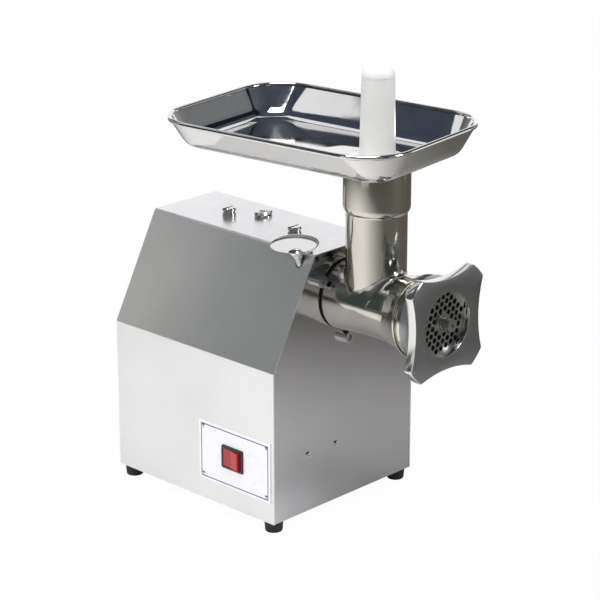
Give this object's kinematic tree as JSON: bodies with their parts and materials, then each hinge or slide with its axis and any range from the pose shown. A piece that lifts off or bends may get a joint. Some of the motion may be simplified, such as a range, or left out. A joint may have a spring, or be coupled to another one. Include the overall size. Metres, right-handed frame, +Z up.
{
  "type": "electric meat grinder",
  "caption": "Bench-top electric meat grinder: folded steel casing with side switch, cast grinding head with ring nut, feed tray and pusher",
  "frame": {"origin": "middle of the object in X and Y, on the surface it stands on", "axes": "+Z up, -Y towards the outlet of the grinding head, -X the side with the switch"},
  "size_m": [0.2294, 0.3904, 0.4837],
  "materials": {
    "inox_satin": "satin",
    "inox_polished": "polished",
    "cast_inox": "polished",
    "steel": "machined",
    "bolt_steel": "plated",
    "black_rubber": "matte",
    "black_plastic": "fine texture",
    "red_plastic": "gloss",
    "white_plastic": "satin",
    "plate_white": "satin print film with a thin navy border",
    "cast_alloy": "as cast",
    "motor_paint": "satin",
    "laminations": "laminated",
    "copper": "enamelled wire",
    "bronze": "sintered",
    "gasket_paper": "matte",
    "capacitor_case": "satin",
    "insulation": "satin"
  },
  "bodies": {
    "casing": {"casing_wrap": "inox_satin", "front_panel": "inox_satin", "rear_panel": "inox_satin", "base_plate": "inox_satin", "feet": "black_rubber", "foot_screws": "bolt_steel", "rear_screws": "bolt_steel", "cover_screws": "bolt_steel", "bracket_screws": "bolt_steel", "hub_bolts": "inox_polished", "top_bolts": "inox_polished", "filler_cap": "inox_polished", "name_plate": "plate_white", "name_plate_rivets": "bolt_steel", "switch_body": "black_plastic", "cable_gland": "black_plastic", "gland_nut": "black_plastic", "head_socket": "cast_alloy", "gearbox_housing": "cast_alloy", "gearbox_gasket": "gasket_paper", "gearbox_cover": "cast_alloy", "cover_bolts": "bolt_steel", "output_bearings": "steel", "oil_seal": "black_rubber", "lay_bearings": "bronze", "motor_frame": "motor_paint", "stator_core": "laminations", "stator_winding": "copper", "front_shield": "cast_alloy", "rear_shield": "cast_alloy", "motor_bearings": "steel", "motor_cradle": "motor_paint", "cradle_bolts": "bolt_steel", "run_capacitor": "capacitor_case", "capacitor_bracket": "inox_satin", "terminal_block": "white_plastic", "inner_wiring": "insulation"},
    "clamp": {"clamp_knob": "inox_polished", "clamp_stud": "steel"},
    "switch_rocker": {"rocker": "red_plastic"},
    "output_train": {"output_shaft": "steel", "output_gear": "steel"},
    "lay_train": {"lay_shaft": "steel", "lay_gear": "steel"},
    "rotor": {"rotor_shaft": "steel", "rotor_core": "laminations", "motor_pinion": "steel", "cooling_fan": "black_plastic"},
    "grinding_head": {"barrel": "cast_inox", "head_seal": "black_rubber", "worm_bush": "white_plastic"},
    "worm_and_knife": {"worm": "cast_inox", "knife": "cast_inox"},
    "grinding_plate": {"hole_plate": "cast_inox"},
    "nut": {"ring_nut": "cast_inox"},
    "tray": {"feed_tray": "inox_polished"},
    "plunger": {"pusher": "white_plastic"}
  },
  "joints": [
    {"name": "clamp_turn", "type": "hinge", "parent": "casing", "child": "clamp", "pos_m": [-0.02258, -0.03585, 0.22618], "axis": [-0.342, 0, 0.9397], "range_deg": [-50, 0]},
    {"name": "rocker_tilt", "type": "hinge", "parent": "casing", "child": "switch_rocker", "pos_m": [-0.09428, 0.00665, 0.0684], "axis": [0, 0, 1], "range_deg": [0, 18]},
    {"name": "rotor_spin", "type": "hinge", "parent": "casing", "child": "rotor", "pos_m": [0.00852, 0.06515, 0.1425], "axis": [0, 1, 0], "continuous": true},
    {"name": "lay_spin", "type": "hinge", "parent": "casing", "child": "lay_train", "pos_m": [0.00852, 0.06515, 0.1875], "axis": [0, 1, 0], "continuous": true},
    {"name": "output_spin", "type": "hinge", "parent": "casing", "child": "output_train", "pos_m": [0.00852, 0.06515, 0.2375], "axis": [0, 1, 0], "continuous": true},
    {"name": "head_withdraw", "type": "slide", "parent": "casing", "child": "grinding_head", "axis": [0, -1, 0], "range_m": [0, 0.08]},
    {"name": "worm_spin", "type": "hinge", "parent": "grinding_head", "child": "worm_and_knife", "pos_m": [0.00852, 0.06515, 0.2375], "axis": [0, 1, 0], "continuous": true},
    {"name": "plate_out", "type": "slide", "parent": "grinding_head", "child": "grinding_plate", "axis": [0, -1, 0], "range_m": [0, 0.0121]},
    {"name": "nut_turn", "type": "hinge", "parent": "grinding_plate", "child": "nut", "pos_m": [0.00852, 0.06515, 0.2375], "axis": [0, -1, 0], "range_deg": [0, 1080]},
    {"name": "tray_lift", "type": "slide", "parent": "grinding_head", "child": "tray", "axis": [0, 0, 1], "range_m": [0, 0.06]},
    {"name": "plunger_lift", "type": "slide", "parent": "tray", "child": "plunger", "axis": [0, 0, 1], "range_m": [0, 0.15]}
  ],
  "couplings": [
    {"joint": "lay_spin", "follows": "rotor_spin", "ratio": -0.25},
    {"joint": "output_spin", "follows": "rotor_spin", "ratio": 0.097222},
    {"joint": "worm_spin", "follows": "rotor_spin", "ratio": 0.097222},
    {"joint": "plate_out", "follows": "nut_turn", "m_per_rad": 0.00063662}
  ]
}
